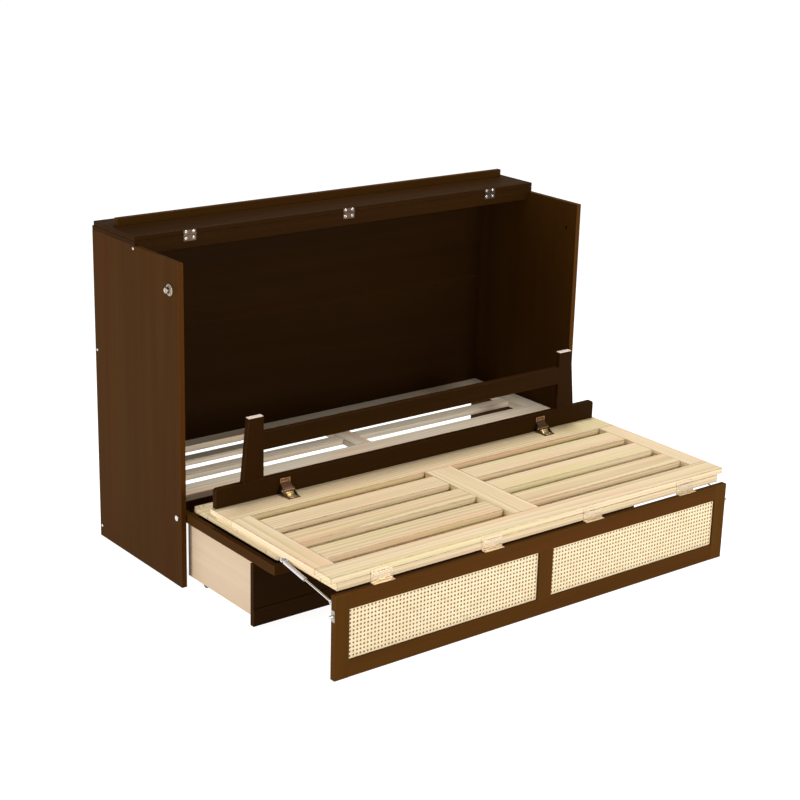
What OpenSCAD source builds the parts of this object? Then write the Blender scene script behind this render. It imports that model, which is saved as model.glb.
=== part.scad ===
// Cabinet wall bed, drawn with its lid folded back and its front let down on the cane panel.
// Distances "in front of the back" run from the cabinet's back face towards the foot.
// The origin is on the floor, at the middle of the footprint of that open pose.

/* [Cabinet] */
// Overall width over the two side panels
cabinet_w = 1640; // [1620:5:1680]
// Depth of the side panels
cabinet_d = 530; // [525:1:540]
// Height of the side panels
cabinet_h = 1055; // [1050:1:1060]
// Thickness of the side panels
side_t = 18; // [16:1:20]
// Thickness of the fixed top and of the lid
top_t = 15; // [12:1:18]
// Depth of the fixed part of the top
top_depth = 268; // [262:1:272]
// Depth of the lid
lid_depth = 258; // [252:1:262]

/* [Sleeping platform] */
// Height of the head slats above the floor
head_z = 280; // [276:1:284]
// Length of the head frame
head_d = 441; // [430:1:445]
// Underside of the middle frame
mid_z = 266.5; // [266:0.5:268]
// Thickness of the middle frame
mid_t = 24.5; // [22:0.5:25]
// Thickness of the foot frame
foot_t = 20; // [18:1:21]
// Length of the middle frame and of the foot frame
frame_len = 637; // [630:1:640]
// Width of one slot between slats
slot_w = 45; // [35:1:55]
// Distance from one slot to the next
slot_pitch = 131; // [125:1:135]
// Width of the front rail of a frame
frame_front_rail_w = 80; // [70:1:90]
// Half width of the member down the middle of a frame
centre_half_w = 53; // [40:1:60]

/* [Front panel] */
// Height of the cane panel that stands under the foot of the middle frame
panel_h = 262.5; // [260:0.5:263]
// Thickness of the cane panel
panel_t = 20; // [18:1:22]
// Width of the panel's outer rails and stiles
panel_rail_w = 50; // [44:1:56]
// Half width of the stile in the middle of the panel
panel_mid_half_w = 28; // [24:1:32]

/* [Legs] */
// Height of the board that carries the legs
leg_board_h = 64; // [58:1:70]
// Distance from the middle to the inner edge of a leg
leg_inner_x = 614; // [600:1:640]
// Width of a leg at the board
leg_top_w = 76; // [66:1:84]
// Width of a leg at its foot
leg_tip_w = 54; // [46:1:60]

/* [Drawer] */
// Length of the drawer, which is also its travel
drawer_len = 380; // [340:5:390]
// Height of the top edge of the drawer front
drawer_front_z = 212; // [200:1:213]
// Radius of a caster wheel
caster_r = 16; // [14:1:17]

/* [Hardware] */
// Radius of a hinge knuckle
knuckle_r = 2.4; // [2:0.1:2.6]
// Radius of a hinge pin
hinge_pin_r = 1.2; // [1:0.1:1.4]
// Thickness of a hinge leaf
leaf_t = 1.5; // [1:0.1:1.8]
// Radius of the pivot bolts that carry the front
pivot_r = 5; // [4:0.5:6]
// Radial clearance of every running fit
running = 0.05; // [0.02:0.01:0.1]
// Radius of a gas spring's cylinder
gas_r = 6.5; // [6:0.1:6.5]
// Radius of a gas spring's rod
rod_r = 3; // [2.5:0.5:3.5]

/* [Hidden] */

dark_wood = [0.24, 0.13, 0.06];
light_wood = [0.87, 0.76, 0.58];
cane_colour = [0.93, 0.85, 0.68];
nickel = [0.78, 0.77, 0.74];
bronze = [0.42, 0.31, 0.18];
off_white = [0.9, 0.88, 0.84];
drawer_wood = [0.85, 0.76, 0.64];
black = [0.05, 0.05, 0.05];
steel = [0.8, 0.79, 0.8];

eps = 0.2;                          // joint line between two pieces that meet
round_fn = 48;
half_w = cabinet_w / 2;
inner_x = half_w - side_t;

// Front let down: the pivot, and the two hinge lines at the foot of the middle frame
pivot_d = 505;
pivot_z = 230;
frame_front_d = frame_len + 664;
frame_rear_d = 664;
hinge_d = frame_front_d + 3;
mid_top_z = mid_z + mid_t;
foot_z = mid_top_z + 0.5;
foot_top_z = foot_z + foot_t;
foot_hinge_z = mid_top_z + 0.25;
panel_hinge_z = mid_z - 1;
panel_d = hinge_d;
panel_front_d = panel_d + panel_t;
back_y = panel_front_d / 2;

// Widths of what fits between the sides
panel_half_w = inner_x - 5;
foot_half_w = inner_x - 5;
mid_half_w = inner_x - 26;
deck_half_w = inner_x - 31;
frame_hinge_x = [-620, -207, 207, 620];
lid_hinge_x = [-620, 0, 620];
slot_end_x = 727;

// Rails of the let-down front
rail_z = 217;
rail_top_z = 247;
rail_out_x = inner_x - 2.5;
rail_in_x = rail_out_x - 18;
rail_rear_d = pivot_d - 14;
deck_top_z = mid_z - 0.3;
deck_rear_d = 527;
deck_front_d = 1000;
mid_rail_front_d = 1021;

// Lid
lid_axis_d = top_depth + 3;
lid_axis_z = cabinet_h + top_t + 0.6;
lid_z = lid_axis_z + 0.3;
lid_front_d = top_depth;
lid_rear_d = lid_front_d - lid_depth;
batten_d = 103;
batten_h = 26;
batten_t = 18;

// Leg brackets
bracket_x = 535;
bracket_d = 700;
bracket_z = foot_top_z + 15.5;
leg_board_z = foot_top_z + 0.4;
leg_board_top_z = leg_board_z + leg_board_h;
leg_d = 664;
leg_t = 20;
glide_t = 3;
leg_tip_z = 2 * foot_hinge_z;
bracket_pin_r = 3;

// Lock between the cane panel and the side panels
bolt_r = 4.5;
bolt_z = 200;
bolt_d = panel_d + panel_t / 2;
bolt_len = 30;
bolt_out = 14;
button_r = 6;
latch_d = pivot_d - ((panel_hinge_z - panel_t / 2) - pivot_z);
latch_z = pivot_z + (hinge_d - (panel_hinge_z - bolt_z)) - pivot_d;

// Gas springs
gas_x = 788;
gas_upper_d = 1045;
gas_upper_z = 273.5;
gas_lower_d = hinge_d - 13;
gas_lower_z = 234;
gas_run = norm([gas_lower_d - gas_upper_d, gas_lower_z - gas_upper_z]);
gas_slope = atan2(gas_upper_z - gas_lower_z, gas_lower_d - gas_upper_d);
gas_body_len = 118;
stud_r = 3;

// Drawer
drawer_front_d = cabinet_d + drawer_len;
drawer_side_x = 785;
drawer_board_t = 15;
drawer_low_z = 30;
drawer_top_z = 206;
drawer_face_d = drawer_front_d - 18;
drawer_rear_d = drawer_face_d - drawer_len;
drawer_half_w = rail_out_x;
kick_top_z = 64;
caster_x = 750;
caster_front_d = drawer_face_d - 45;
caster_rear_d = drawer_rear_d + 58;
axle_r = 2.5;

// Box from x0 to x1, from d0 to d1 in front of the back, and from z0 to z1 above the floor
module slab(x0, x1, d0, d1, z0, z1) {
  translate([x0, back_y - d1, z0])
    cube([x1 - x0, d1 - d0, z1 - z0]);
}

// Places children at x, d in front of the back, and z above the floor
module at(x, d, z) {
  translate([x, back_y - d, z])
    children();
}

// Cylinder along X from x0 to x1
module bar(x0, x1, d, z, r) {
  at(x0, d, z)
    rotate([0, 90, 0])
      cylinder(r = r, h = x1 - x0, $fn = round_fn);
}

// The same piece on the left side and on the right side
module both_sides() {
  children();
  mirror([1, 0, 0])
    children();
}

// Outline in distance and height, extruded along X from x0 to x1
module profile(x0, x1, points) {
  translate([x0, 0, 0])
    rotate([90, 0, 90])
      linear_extrude(height = x1 - x0)
        polygon([for (p = points) [back_y - p[0], p[1]]]);
}

// Front, rear, end and middle rails of a slatted frame
module frame_rails(hw, d0, d1, z0, t, rear_w, front_w) {
  slab(-hw, hw, d0, d0 + rear_w, z0, z0 + t);
  slab(-hw, hw, d1 - front_w, d1, z0, z0 + t);
  slab(-centre_half_w, centre_half_w, d0 + rear_w + eps, d1 - front_w - eps, z0, z0 + t);
  both_sides()
    slab(slot_end_x, hw, d0 + rear_w + eps, d1 - front_w - eps, z0, z0 + t);
}

// Slats between the rails, n in each half, counted back from the front rail
module frame_slats(d1, z0, t, front_w, n) {
  for (i = [1 : n])
    both_sides()
      slab(centre_half_w + eps, slot_end_x - eps, d1 - front_w - i * slot_pitch,
           d1 - front_w - i * slot_pitch + slot_pitch - slot_w, z0, z0 + t);
}

module side_panel() {
  difference() {
    slab(inner_x, half_w, 0, cabinet_d, 0, cabinet_h);
    bar(inner_x - 1, half_w + 1, pivot_d, pivot_z, pivot_r + running);
    bar(inner_x - 1, half_w + 1, latch_d, latch_z, button_r + running);
  }
}

module side_panel_left() {
  color(dark_wood)
    mirror([1, 0, 0])
      side_panel();
}

module side_panel_right() {
  color(dark_wood)
    side_panel();
}

// Two boards, one above the other
module back_panels() {
  seam_z = 688;
  color(dark_wood) {
    slab(-inner_x + eps, inner_x - eps, 6, 18, head_z - 22, seam_z);
    slab(-inner_x + eps, inner_x - eps, 6, 18, seam_z + 0.6, cabinet_h - eps);
  }
}

module fixed_top() {
  color(dark_wood)
    slab(-half_w, half_w, 0, top_depth, cabinet_h, cabinet_h + top_t);
}

module top_apron() {
  color(dark_wood)
    slab(-inner_x, inner_x, top_depth - 18, top_depth, cabinet_h - 28, cabinet_h);
}

// Rails across the back, under the head frame and at the floor
module rear_rails() {
  color(dark_wood) {
    slab(-inner_x, inner_x, 0, 18, head_z - 46, head_z - 22.4);
    slab(-inner_x, inner_x, 0, 18, 8, 68);
  }
}

module head_ledgers() {
  color(dark_wood)
    both_sides()
      slab(inner_x - 18, inner_x, 20, 440, head_z - 52, head_z - 22.2);
}

module front_cross_rail() {
  color(dark_wood)
    slab(-inner_x, inner_x, 441, 459, drawer_top_z + 5, head_z - 22.2);
}

// Head frame, lying on the ledgers
module head_frame_rails() {
  rear = 20;
  front = rear + head_d;
  rear_w = 52;
  front_w = 82;
  hw = inner_x - 1;
  color(light_wood) {
    slab(-hw, hw, rear, rear + rear_w, head_z - 22, head_z);
    slab(-hw, hw, front - front_w, front, head_z - 22, head_z);
    slab(-33, 33, rear + rear_w + eps, front - front_w - eps, head_z - 22, head_z);
    both_sides()
      slab(hw - 76, hw, rear + rear_w + eps, front - front_w - eps, head_z - 22, head_z);
  }
}

module head_frame_slats() {
  first_d = 148;
  color(light_wood)
    for (i = [0, 1])
      both_sides()
        slab(33 + eps, inner_x - 77 - eps, first_d + i * 116, first_d + i * 116 + 43,
             head_z - 20, head_z);
}

// Shoulder bolts through the sides, on which the whole front turns
module pivot_bolts() {
  color(nickel)
    both_sides() {
      bar(rail_in_x + 1, half_w + eps, pivot_d, pivot_z, pivot_r);
      bar(half_w + 0.1, half_w + 3, pivot_d, pivot_z, pivot_r + 4);
    }
}

// Domed caps of the screws that hold the boards between the sides
module screw_caps() {
  color(nickel)
    both_sides()
      for (p = [[12, 657], [12, 38], [262, cabinet_h - 8]])
        at(half_w, p[0], p[1])
          rotate([0, 90, 0])
            cylinder(r1 = 5, r2 = 3.5, h = 1.8, $fn = round_fn);
}

// Ring around each push button
module latch_escutcheons() {
  color(nickel)
    both_sides()
      difference() {
        union() {
          bar(half_w, half_w + 3, latch_d, latch_z, 19);
          bar(half_w, half_w + 6, latch_d, latch_z, 14);
        }
        bar(half_w - 1, half_w + 7, latch_d, latch_z, 10.2);
      }
}

// Lid hinges: fixed leaf with the middle knuckle and the pin hole
module lid_hinge_fixed_leaves() {
  color(nickel)
    for (x = lid_hinge_x)
      difference() {
        union() {
          slab(x - 23, x + 23, top_depth, top_depth + leaf_t, lid_axis_z - 22, lid_axis_z - 2.8);
          slab(x - 7.6, x + 7.6, top_depth, lid_axis_d, lid_axis_z - 3, lid_axis_z);
          bar(x - 7.6, x + 7.6, lid_axis_d, lid_axis_z, knuckle_r);
          for (s = [-1, 1])
            at(x + s * 14, top_depth + leaf_t - 0.2, lid_axis_z - 13)
              rotate([90, 0, 0])
                cylinder(r1 = 4, r2 = 3, h = 1, $fn = 32);
        }
        bar(x - 9, x + 9, lid_axis_d, lid_axis_z, hinge_pin_r + running);
      }
}

module lid_panel() {
  color(dark_wood)
    slab(-half_w, half_w, lid_rear_d, lid_front_d, lid_z, lid_z + top_t);
}

// Batten under the closed lid, standing up while the lid is folded back
module lid_batten() {
  color(dark_wood)
    slab(-inner_x + 6, inner_x - 6, batten_d, batten_d + batten_t,
         lid_z + top_t, lid_z + top_t + batten_h);
}

// Lid hinges: moving leaf with the two outer knuckles and the pin
module lid_hinge_moving_leaves() {
  color(nickel)
    for (x = lid_hinge_x) {
      slab(x - 23, x + 23, top_depth, top_depth + leaf_t, lid_axis_z + 2.8, lid_z + 13);
      for (s = [-1, 1]) {
        at(x + s * 14, top_depth + leaf_t - 0.2, lid_axis_z + 8)
          rotate([90, 0, 0])
            cylinder(r1 = 4, r2 = 3, h = 1, $fn = 32);
        slab(x + (s < 0 ? -23 : 8.2), x + (s < 0 ? -8.2 : 23), top_depth, lid_axis_d,
             lid_axis_z, lid_axis_z + 3);
        bar(x + (s < 0 ? -23 : 8.2), x + (s < 0 ? -8.2 : 23), lid_axis_d, lid_axis_z, knuckle_r);
      }
      bar(x - 22, x + 22, lid_axis_d, lid_axis_z, hinge_pin_r);
    }
}

// Dark side rails of the let-down front, bored for the pivot bolts
module mid_side_rails() {
  color(dark_wood)
    both_sides()
      difference() {
        slab(rail_in_x, rail_out_x, rail_rear_d, mid_rail_front_d - 18, rail_z, rail_top_z);
        bar(rail_in_x - 1, rail_out_x + 1, pivot_d, pivot_z, pivot_r + running);
      }
}

module mid_front_rail() {
  color(dark_wood)
    slab(-rail_out_x, rail_out_x, mid_rail_front_d - 18 + eps, mid_rail_front_d,
         rail_z, rail_top_z);
}

// Board that is the cabinet's front when the bed is shut
module mid_underside_board() {
  color(dark_wood)
    slab(-rail_in_x + eps, rail_in_x - eps, rail_rear_d + 4, mid_rail_front_d - 18,
         rail_z, rail_z + 15);
}

// Slatted deck on the rails, with round front corners
module mid_deck() {
  z0 = rail_top_z + eps;
  end_x = deck_half_w - 70;
  front_w = 66;
  rear_w = 80;
  corner_r = 22;
  slat_w = 68;
  gap_w = 64;
  color(light_wood) {
    slab(-deck_half_w, deck_half_w, deck_rear_d, deck_rear_d + rear_w, z0, deck_top_z);
    both_sides()
      slab(end_x, deck_half_w, deck_rear_d + rear_w + eps, deck_front_d - front_w - eps,
           z0, deck_top_z);
    slab(-33, 33, deck_rear_d + rear_w + eps, deck_front_d - front_w - eps, z0, deck_top_z);
    for (i = [0, 1])
      both_sides()
        slab(33 + eps, end_x - eps, deck_rear_d + rear_w + gap_w + i * (slat_w + gap_w),
             deck_rear_d + rear_w + gap_w + slat_w + i * (slat_w + gap_w), z0, deck_top_z);
    translate([0, 0, z0])
      linear_extrude(height = deck_top_z - z0) {
        translate([-deck_half_w, back_y - deck_front_d + corner_r])
          square([2 * deck_half_w, front_w - corner_r]);
        translate([-deck_half_w + corner_r, back_y - deck_front_d])
          square([2 * (deck_half_w - corner_r), front_w]);
        for (s = [-1, 1])
          translate([s * (deck_half_w - corner_r), back_y - deck_front_d + corner_r])
            circle(r = corner_r, $fn = round_fn);
      }
  }
}

frame_rear_rail_w = frame_len - frame_front_rail_w - 4 * slot_w - 3 * (slot_pitch - slot_w);

module mid_frame_rails() {
  color(light_wood)
    frame_rails(mid_half_w, frame_rear_d, frame_front_d, mid_z, mid_t,
                frame_rear_rail_w, frame_front_rail_w);
}

module mid_frame_slats() {
  color(light_wood)
    frame_slats(frame_front_d, mid_z, mid_t, frame_front_rail_w, 3);
}

// Leaves on the foot edge of the middle frame, with the middle knuckles of the foot hinges
module foot_hinge_lower_leaves() {
  color(nickel)
    for (x = frame_hinge_x)
      difference() {
        union() {
          slab(x - 38, x + 38, frame_front_d, frame_front_d + leaf_t,
               foot_hinge_z - 11.5, foot_hinge_z - 2.8);
          slab(x - 12, x + 12, frame_front_d, hinge_d, foot_hinge_z - 3, foot_hinge_z);
          bar(x - 12, x + 12, hinge_d, foot_hinge_z, knuckle_r);
        }
        bar(x - 13, x + 13, hinge_d, foot_hinge_z, hinge_pin_r + running);
      }
}

// Leaves on the same edge, with the middle knuckles of the panel hinges
module panel_hinge_upper_leaves() {
  color(nickel)
    for (x = frame_hinge_x)
      difference() {
        union() {
          slab(x - 38, x + 38, frame_front_d, frame_front_d + leaf_t,
               panel_hinge_z + 2.8, foot_hinge_z - 12);
          slab(x - 12, x + 12, frame_front_d, hinge_d, panel_hinge_z + 1.2, panel_hinge_z + 3);
          bar(x - 12, x + 12, hinge_d, panel_hinge_z, knuckle_r);
        }
        bar(x - 13, x + 13, hinge_d, panel_hinge_z, hinge_pin_r + running);
      }
}

// Studs beside the middle frame on which the gas springs hang
module gas_spring_upper_studs() {
  color(steel)
    both_sides() {
      slab(mid_half_w, mid_half_w + 2, gas_upper_d - 14, gas_upper_d + 14, mid_z + 0.5, mid_z + 19);
      bar(mid_half_w, gas_x + 6.5, gas_upper_d, gas_upper_z, stud_r);
    }
}

module foot_frame_rails() {
  color(light_wood)
    frame_rails(foot_half_w, frame_rear_d, frame_front_d, foot_z, foot_t,
                frame_rear_rail_w, frame_front_rail_w);
}

module foot_frame_slats() {
  color(light_wood)
    frame_slats(frame_front_d, foot_z, foot_t, frame_front_rail_w, 3);
}

// Leaves on the foot frame, with the outer knuckles and the pins
module foot_hinge_upper_leaves() {
  color(nickel)
    for (x = frame_hinge_x) {
      slab(x - 38, x + 38, frame_front_d, frame_front_d + leaf_t,
           foot_hinge_z + 2.8, foot_hinge_z + 12);
      for (s = [-1, 1]) {
        slab(x + (s < 0 ? -38 : 12.5), x + (s < 0 ? -12.5 : 38), frame_front_d, hinge_d,
             foot_hinge_z + 1.2, foot_hinge_z + 3);
        bar(x + (s < 0 ? -38 : 12.5), x + (s < 0 ? -12.5 : 38), hinge_d, foot_hinge_z, knuckle_r);
      }
      bar(x - 37, x + 37, hinge_d, foot_hinge_z, hinge_pin_r);
    }
}

// Bases of the folding leg brackets: plate, two outer ears and the pin
module leg_bracket_bases() {
  ear_r = 8;
  color(bronze)
    both_sides() {
      slab(bracket_x - 22, bracket_x + 22, bracket_d - 10, bracket_d + 40,
           foot_top_z, foot_top_z + 2);
      for (x = [bracket_x - 22, bracket_x + 20]) {
        profile(x, x + 2, [[bracket_d - ear_r, foot_top_z + 1], [bracket_d - ear_r, bracket_z],
                           [bracket_d + ear_r, bracket_z], [bracket_d + 30, foot_top_z + 1]]);
        bar(x, x + 2, bracket_d, bracket_z, ear_r);
      }
      bar(bracket_x - 23.5, bracket_x + 23.5, bracket_d, bracket_z, bracket_pin_r);
    }
}

// Board at the rear edge of the foot frame, which carries the legs
module leg_board() {
  board_half_w = foot_half_w - 9;
  corner_r = 10;
  color(dark_wood)
    at(0, leg_d + leg_t, leg_board_z)
      rotate([90, 0, 0])
        translate([0, 0, -leg_t])
          linear_extrude(height = leg_t) {
            translate([-board_half_w, 0])
              square([2 * board_half_w, leg_board_h - corner_r]);
            translate([-board_half_w + corner_r, 0])
              square([2 * (board_half_w - corner_r), leg_board_h]);
            for (s = [-1, 1])
              translate([s * (board_half_w - corner_r), leg_board_h - corner_r])
                circle(r = corner_r, $fn = round_fn);
          }
}

// Tapered legs, straight on the inner edge
module legs() {
  color(dark_wood)
    both_sides()
      at(leg_inner_x, leg_d + leg_t, 0)
        rotate([90, 0, 0])
          translate([0, 0, -leg_t])
            linear_extrude(height = leg_t)
              polygon([[0, leg_board_top_z + eps], [leg_top_w, leg_board_top_z + eps],
                       [leg_tip_w, leg_tip_z - glide_t], [0, leg_tip_z - glide_t]]);
}

module leg_stretcher() {
  color(dark_wood)
    slab(-leg_inner_x + eps, leg_inner_x - eps, leg_d, leg_d + leg_t,
         leg_board_top_z + 94, leg_board_top_z + 153);
}

module leg_glides() {
  color(off_white)
    both_sides()
      slab(leg_inner_x + 1, leg_inner_x + leg_tip_w - 1, leg_d + 1, leg_d + leg_t - 1,
           leg_tip_z - glide_t, leg_tip_z);
}

// Leaves of the folding leg brackets: plate on the board and a barrel around the pin
module leg_bracket_leaves() {
  barrel_r = 8;
  board_face_d = leg_d + leg_t;
  color(bronze)
    both_sides()
      difference() {
        union() {
          slab(bracket_x - 19, bracket_x + 19, board_face_d, board_face_d + 2,
               bracket_z - 7, bracket_z + 36);
          profile(bracket_x - 19, bracket_x + 19,
                  [[board_face_d + 1, bracket_z - 4], [bracket_d, bracket_z - 4],
                   [bracket_d, bracket_z + barrel_r], [board_face_d + 1, bracket_z + 22]]);
          bar(bracket_x - 19, bracket_x + 19, bracket_d, bracket_z, barrel_r);
        }
        bar(bracket_x - 20, bracket_x + 20, bracket_d, bracket_z, bracket_pin_r + running);
      }
}

// Cane panel: top and bottom rail between the outer stiles
module panel_rails() {
  x = panel_half_w - panel_rail_w - eps;
  color(dark_wood) {
    slab(-x, x, panel_d, panel_front_d, 0, panel_rail_w + 4);
    slab(-x, x, panel_d, panel_front_d, panel_h - panel_rail_w, panel_h);
  }
}

// Outer stiles, each bored for a lock bolt, and the stile in the middle
module panel_stiles() {
  color(dark_wood) {
    both_sides()
      difference() {
        slab(panel_half_w - panel_rail_w, panel_half_w, panel_d, panel_front_d, 0, panel_h);
        bar(panel_half_w + bolt_out - bolt_len - 16, panel_half_w + 1, bolt_d, bolt_z,
            bolt_r + running);
      }
    slab(-panel_mid_half_w, panel_mid_half_w, panel_d, panel_front_d,
         panel_rail_w + 4 + eps, panel_h - panel_rail_w - eps);
  }
}

// Two sheets of woven cane, set back from the face of the panel
module cane_webbing() {
  color(cane_colour)
    both_sides()
      slab(panel_mid_half_w + eps, panel_half_w - panel_rail_w - eps,
           panel_front_d - 9, panel_front_d - 6,
           panel_rail_w + 4 + eps, panel_h - panel_rail_w - eps);
}

// Leaves on the top edge of the panel, with the outer knuckles and the pins
module panel_hinge_lower_leaves() {
  color(nickel)
    for (x = frame_hinge_x) {
      slab(x - 38, x + 38, hinge_d + 3, hinge_d + 15, panel_h, panel_h + leaf_t);
      for (s = [-1, 1]) {
        slab(x + (s < 0 ? -38 : 12.5), x + (s < 0 ? -12.5 : 38), hinge_d, hinge_d + 4,
             panel_h + 0.1, panel_h + leaf_t);
        bar(x + (s < 0 ? -38 : 12.5), x + (s < 0 ? -12.5 : 38), hinge_d, panel_hinge_z, knuckle_r);
      }
      bar(x - 37, x + 37, hinge_d, panel_hinge_z, hinge_pin_r);
    }
}

// Plates around the lock bolts, on the ends of the panel
module lock_bolt_plates() {
  color(nickel)
    both_sides()
      difference() {
        slab(panel_half_w, panel_half_w + 1.2, bolt_d - 8, bolt_d + 8, bolt_z - 18, bolt_z + 18);
        bar(panel_half_w - 1, panel_half_w + 3, bolt_d, bolt_z, bolt_r + running);
      }
}

// Brackets on the back of the panel for the lower ends of the gas springs
module gas_spring_lower_studs() {
  ear_x = gas_x - 9;
  color(steel)
    both_sides() {
      slab(ear_x - 2, ear_x + 4, hinge_d - 1.5, hinge_d, gas_lower_z - 12, gas_lower_z + 12);
      slab(ear_x, ear_x + 2, gas_lower_d - 6, hinge_d, gas_lower_z - 7, gas_lower_z + 7);
      bar(ear_x, gas_x - 5.4, gas_lower_d, gas_lower_z, stud_r);
    }
}

module drawer_front() {
  color(dark_wood)
    slab(-drawer_half_w, drawer_half_w, drawer_face_d, drawer_front_d - 2,
         kick_top_z + eps, drawer_front_z);
}

module drawer_kick_rail() {
  color(dark_wood)
    slab(-drawer_half_w, drawer_half_w, drawer_face_d, drawer_front_d, 8, kick_top_z);
}

module drawer_sides() {
  color(drawer_wood)
    both_sides()
      slab(drawer_side_x - drawer_board_t, drawer_side_x, drawer_rear_d, drawer_face_d - eps,
           drawer_low_z, drawer_top_z);
}

module drawer_back() {
  x = drawer_side_x - drawer_board_t - eps;
  color(drawer_wood)
    slab(-x, x, drawer_rear_d, drawer_rear_d + drawer_board_t, drawer_low_z + 10, drawer_top_z - 10);
}

module drawer_bottom() {
  x = drawer_side_x - drawer_board_t - eps;
  color(drawer_wood)
    slab(-x, x, drawer_rear_d + drawer_board_t + eps, drawer_face_d - eps, 42, 50);
}

// Fork and axle of one caster, under the drawer's bottom
module caster_fork(x, d) {
  for (s = [-1, 1])
    slab(x + s * 10.5 - 1, x + s * 10.5 + 1, d - 8, d + 8, caster_r - 5, 41);
  slab(x - 11.5, x + 11.5, d - 16, d + 16, 39.5, 41.8);
  bar(x - 11.5, x + 11.5, d, caster_r, axle_r);
}

module caster_forks() {
  color(black)
    both_sides()
      for (d = [caster_rear_d, caster_front_d])
        caster_fork(caster_x, d);
}

module caster_wheel(x, d) {
  color(black)
    difference() {
      bar(x - 8, x + 8, d, caster_r, caster_r);
      bar(x - 9, x + 9, d, caster_r, axle_r + running);
    }
}

module caster_wheel_front_left() {
  caster_wheel(-caster_x, caster_front_d);
}

module caster_wheel_front_right() {
  caster_wheel(caster_x, caster_front_d);
}

module caster_wheel_rear_left() {
  caster_wheel(-caster_x, caster_rear_d);
}

module caster_wheel_rear_right() {
  caster_wheel(caster_x, caster_rear_d);
}

// Runs children along a gas spring, from the upper stud towards the lower one
module along_spring() {
  at(gas_x, gas_upper_d, gas_upper_z)
    rotate([gas_slope, 0, 0])
      rotate([90, 0, 0])
        children();
}

// Cylinder with its end eye on the upper stud
module gas_cylinder() {
  color(steel)
    difference() {
      union() {
        bar(gas_x - 4, gas_x + 4, gas_upper_d, gas_upper_z, 6);
        along_spring()
          translate([0, 0, 4])
            cylinder(r = 3.6, h = 12, $fn = round_fn);
        along_spring()
          translate([0, 0, 13])
            cylinder(r = gas_r, h = gas_body_len - 13, $fn = round_fn);
      }
      bar(gas_x - 8, gas_x + 8, gas_upper_d, gas_upper_z, stud_r + running);
      along_spring()
        translate([0, 0, 22])
          cylinder(r = rod_r + running, h = gas_body_len, $fn = round_fn);
    }
}

// Rod with its end eye beside the lower stud
module gas_rod() {
  color(steel)
    difference() {
      union() {
        along_spring()
          translate([0, 0, 60])
            cylinder(r = rod_r, h = gas_run - 64, $fn = round_fn);
        bar(gas_x - 4, gas_x + 4, gas_lower_d, gas_lower_z, 6);
      }
      bar(gas_x - 8, gas_x + 8, gas_lower_d, gas_lower_z, stud_r + running);
    }
}

module gas_cylinder_left() {
  mirror([1, 0, 0])
    gas_cylinder();
}

module gas_cylinder_right() {
  gas_cylinder();
}

module gas_rod_left() {
  mirror([1, 0, 0])
    gas_rod();
}

module gas_rod_right() {
  gas_rod();
}

// Push button of the side lock
module latch_button() {
  color(nickel)
    union() {
      bar(inner_x + 9.6, half_w + 9, latch_d, latch_z, button_r);
      bar(half_w + 8.6, half_w + 16, latch_d, latch_z, 9.8);
    }
}

module latch_button_left() {
  mirror([1, 0, 0])
    latch_button();
}

module latch_button_right() {
  latch_button();
}

// Spring bolt in the end of the cane panel
module lock_bolt() {
  color(nickel)
    bar(panel_half_w + bolt_out - bolt_len, panel_half_w + bolt_out, bolt_d, bolt_z, bolt_r);
}

module lock_bolt_left() {
  mirror([1, 0, 0])
    lock_bolt();
}

module lock_bolt_right() {
  lock_bolt();
}

side_panel_left();
side_panel_right();
back_panels();
fixed_top();
top_apron();
rear_rails();
head_ledgers();
front_cross_rail();
head_frame_rails();
head_frame_slats();
pivot_bolts();
screw_caps();
latch_escutcheons();
lid_hinge_fixed_leaves();
lid_panel();
lid_batten();
lid_hinge_moving_leaves();
mid_side_rails();
mid_front_rail();
mid_underside_board();
mid_deck();
mid_frame_rails();
mid_frame_slats();
foot_hinge_lower_leaves();
panel_hinge_upper_leaves();
gas_spring_upper_studs();
foot_frame_rails();
foot_frame_slats();
foot_hinge_upper_leaves();
leg_bracket_bases();
leg_board();
legs();
leg_stretcher();
leg_glides();
leg_bracket_leaves();
panel_rails();
panel_stiles();
cane_webbing();
panel_hinge_lower_leaves();
lock_bolt_plates();
gas_spring_lower_studs();
drawer_front();
drawer_kick_rail();
drawer_sides();
drawer_back();
drawer_bottom();
caster_forks();
caster_wheel_front_left();
caster_wheel_front_right();
caster_wheel_rear_left();
caster_wheel_rear_right();
gas_cylinder_left();
gas_cylinder_right();
gas_rod_left();
gas_rod_right();
latch_button_left();
latch_button_right();
lock_bolt_left();
lock_bolt_right();
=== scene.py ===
import math

import bpy
from mathutils import Matrix, Vector


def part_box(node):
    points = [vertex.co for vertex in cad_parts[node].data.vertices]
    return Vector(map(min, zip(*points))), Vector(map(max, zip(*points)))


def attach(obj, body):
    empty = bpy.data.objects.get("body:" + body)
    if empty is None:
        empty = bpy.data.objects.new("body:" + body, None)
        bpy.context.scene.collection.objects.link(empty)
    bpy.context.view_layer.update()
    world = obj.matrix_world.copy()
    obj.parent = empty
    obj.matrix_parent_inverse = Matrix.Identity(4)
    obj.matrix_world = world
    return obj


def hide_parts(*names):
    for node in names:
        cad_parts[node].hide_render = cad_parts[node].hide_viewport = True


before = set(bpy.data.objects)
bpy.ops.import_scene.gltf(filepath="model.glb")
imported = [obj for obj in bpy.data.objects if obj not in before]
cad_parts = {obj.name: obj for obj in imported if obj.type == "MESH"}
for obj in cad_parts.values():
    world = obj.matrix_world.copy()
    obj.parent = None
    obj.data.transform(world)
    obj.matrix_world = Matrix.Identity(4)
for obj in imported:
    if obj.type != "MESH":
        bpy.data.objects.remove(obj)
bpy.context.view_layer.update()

MM = 0.001
AXES = {"x": 0, "y": 1, "z": 2}
CABINET_BACK = 662       # y of the cabinet's back in mm; part.scad measures depths forward from it


# ---------------------------------------------------------------- node graphs

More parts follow.
